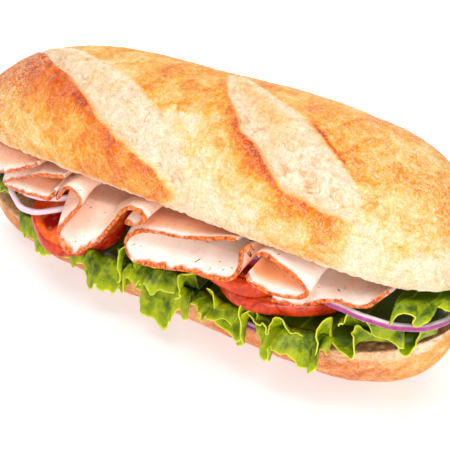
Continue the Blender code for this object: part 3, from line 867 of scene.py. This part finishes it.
def tomato_material():
    """Wet orange-red flesh, with darker soft pockets, their seeds and a deep red skin."""
    made, tree, shader = new_material(
        "sliced_tomato", Roughness=0.14, Specular_IOR_Level=0.35, Subsurface_Weight=0.06,
        Subsurface_Scale=0.003, Subsurface_Radius=(1.0, 0.25, 0.1),
    )
    flesh = ramp(
        tree, mottle(tree, 6 * MM, 5, 0.65, 0.8),
        ((0.3, colour(232, 64, 10)), (0.5, colour(250, 104, 30)), (0.7, colour(255, 152, 88))),
    )
    wet = mix(tree, mask(tree, "gel"), flesh, colour(150, 2, 6))
    seeded = mix(tree, mask(tree, "seed"), wet, colour(206, 84, 36))
    skin = ramp(
        tree, mottle(tree, 5 * MM, 5, 0.7, 1.0), ((0.36, colour(152, 22, 4)), (0.62, colour(222, 70, 22)))
    )
    base = mix(tree, mask(tree, "skin"), seeded, skin)
    connect(tree, shader, base, mottle(tree, 2.4 * MM, 5, 0.6), 0.8 * MM, 0.5)
    return made


def onion_material():
    """White flesh with a breath of pink, and a purple skin."""
    made, tree, shader = new_material(
        "sliced_onion", Roughness=0.22, Subsurface_Weight=0.3, Subsurface_Scale=0.003,
        Subsurface_Radius=(1.0, 0.6, 0.8),
    )
    flesh = ramp(
        tree, mottle(tree, 5 * MM, 4, 0.6), ((0.3, colour(232, 204, 220)), (0.65, colour(250, 240, 244)))
    )
    skin = ramp(
        tree, mottle(tree, 2.2 * MM, 5, 0.75), ((0.3, colour(120, 22, 82)), (0.65, colour(178, 70, 140)))
    )
    base = mix(tree, mask(tree, "skin"), flesh, skin)
    connect(tree, shader, base, mottle(tree, 1.2 * MM, 4, 0.6), 0.2 * MM, 0.35)
    return made


def floor():
    """A plain white table top, which glows a little so that it is as bright as the photo's background."""
    made, tree, shader = new_material(
        "white_table", Roughness=0.8, Emission_Strength=TABLE_GLOW, Emission_Color=(1, 1, 1, 1)
    )
    tint = ramp(tree, mottle(tree, 0.4), ((0.3, (0.60, 0.60, 0.605, 1)), (0.7, (0.62, 0.62, 0.62, 1))))
    tree.links.new(tint, shader.inputs["Base Color"])
    mesh = bpy.data.meshes.new("table_top")
    half = TABLE_HALF_WIDTH
    corners = [(-half, -half, 0), (half, -half, 0), (half, half, 0), (-half, half, 0)]
    mesh.from_pydata(corners, [], [(0, 1, 2, 3)])
    mesh.materials.append(made)
    piece = bpy.data.objects.new("table_top", mesh)
    piece.location.z = -TABLE_GAP
    bpy.context.scene.collection.objects.link(piece)


def area_light(name, place, size, power):
    """A round lamp that faces the sandwich."""
    lamp = bpy.data.lights.new(name, "AREA")
    lamp.shape = "DISK"
    lamp.size = size
    lamp.energy = power
    piece = bpy.data.objects.new(name, lamp)
    piece.location = place
    piece.rotation_euler = (Vector(LAMP_TARGET) - Vector(place)).to_track_quat("-Z", "Y").to_euler()
    bpy.context.scene.collection.objects.link(piece)


def lighting():
    """A bright white studio: light from all round, and soft lamps above, at the front right and behind."""
    scene = bpy.context.scene
    scene.view_settings.view_transform = "Standard"
    scene.view_settings.look = "None"
    world = bpy.data.worlds.new("white_studio")
    world.use_nodes = True
    background = world.node_tree.nodes["Background"]
    background.inputs["Color"].default_value = (1, 1, 1, 1)
    background.inputs["Strength"].default_value = WORLD_STRENGTH
    scene.world = world
    for name, place, size, power in LAMPS:
        area_light(name, place, size, power)


def camera():
    """A long lens from the right of the front, looking down."""
    turn, lift, roll = (math.radians(angle) for angle in CAMERA_ANGLES)
    back = Vector((math.sin(turn) * math.cos(lift), -math.cos(turn) * math.cos(lift), math.sin(lift)))
    level_right = Vector((math.cos(turn), math.sin(turn), 0))
    level_up = back.cross(level_right)
    right = level_right * math.cos(roll) + level_up * math.sin(roll)
    up = level_up * math.cos(roll) - level_right * math.sin(roll)
    lens = bpy.data.cameras.new("camera")
    lens.sensor_width = SENSOR_WIDTH
    lens.lens = SENSOR_WIDTH * FOCAL_LENGTH / IMAGE_WIDTH
    lens.shift_x = SHIFT_RIGHT / IMAGE_WIDTH
    lens.shift_y = SHIFT_UP / IMAGE_WIDTH
    lens.clip_start = 0.01
    piece = bpy.data.objects.new("camera", lens)
    place = Vector(CAMERA_TARGET) * MM + back * CAMERA_DISTANCE * MM
    piece.matrix_world = Matrix.Translation(place) @ Matrix((right, up, back)).transposed().to_4x4()
    bpy.context.scene.collection.objects.link(piece)
    bpy.context.scene.camera = piece


def main():
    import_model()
    bread = bread_material()
    leaf = lettuce_material()
    meat = turkey_material()
    tomato = tomato_material()
    onion = onion_material()
    bread_top(bread)
    bread_bottom(bread)
    for number, (ends, *sizes) in enumerate(LEAVES, 1):
        lettuce_leaf(number, ends, sizes, leaf)
    for number, edge in enumerate(TURKEY, 1):
        turkey_slice(number, edge, meat)
    for number, sizes in enumerate(TOMATOES, 1):
        tomato_slice(number, *sizes, tomato)
    for number, sizes in enumerate(ONIONS, 1):
        onion_ring(number, *sizes, onion)
    floor()
    lighting()
    camera()


main()
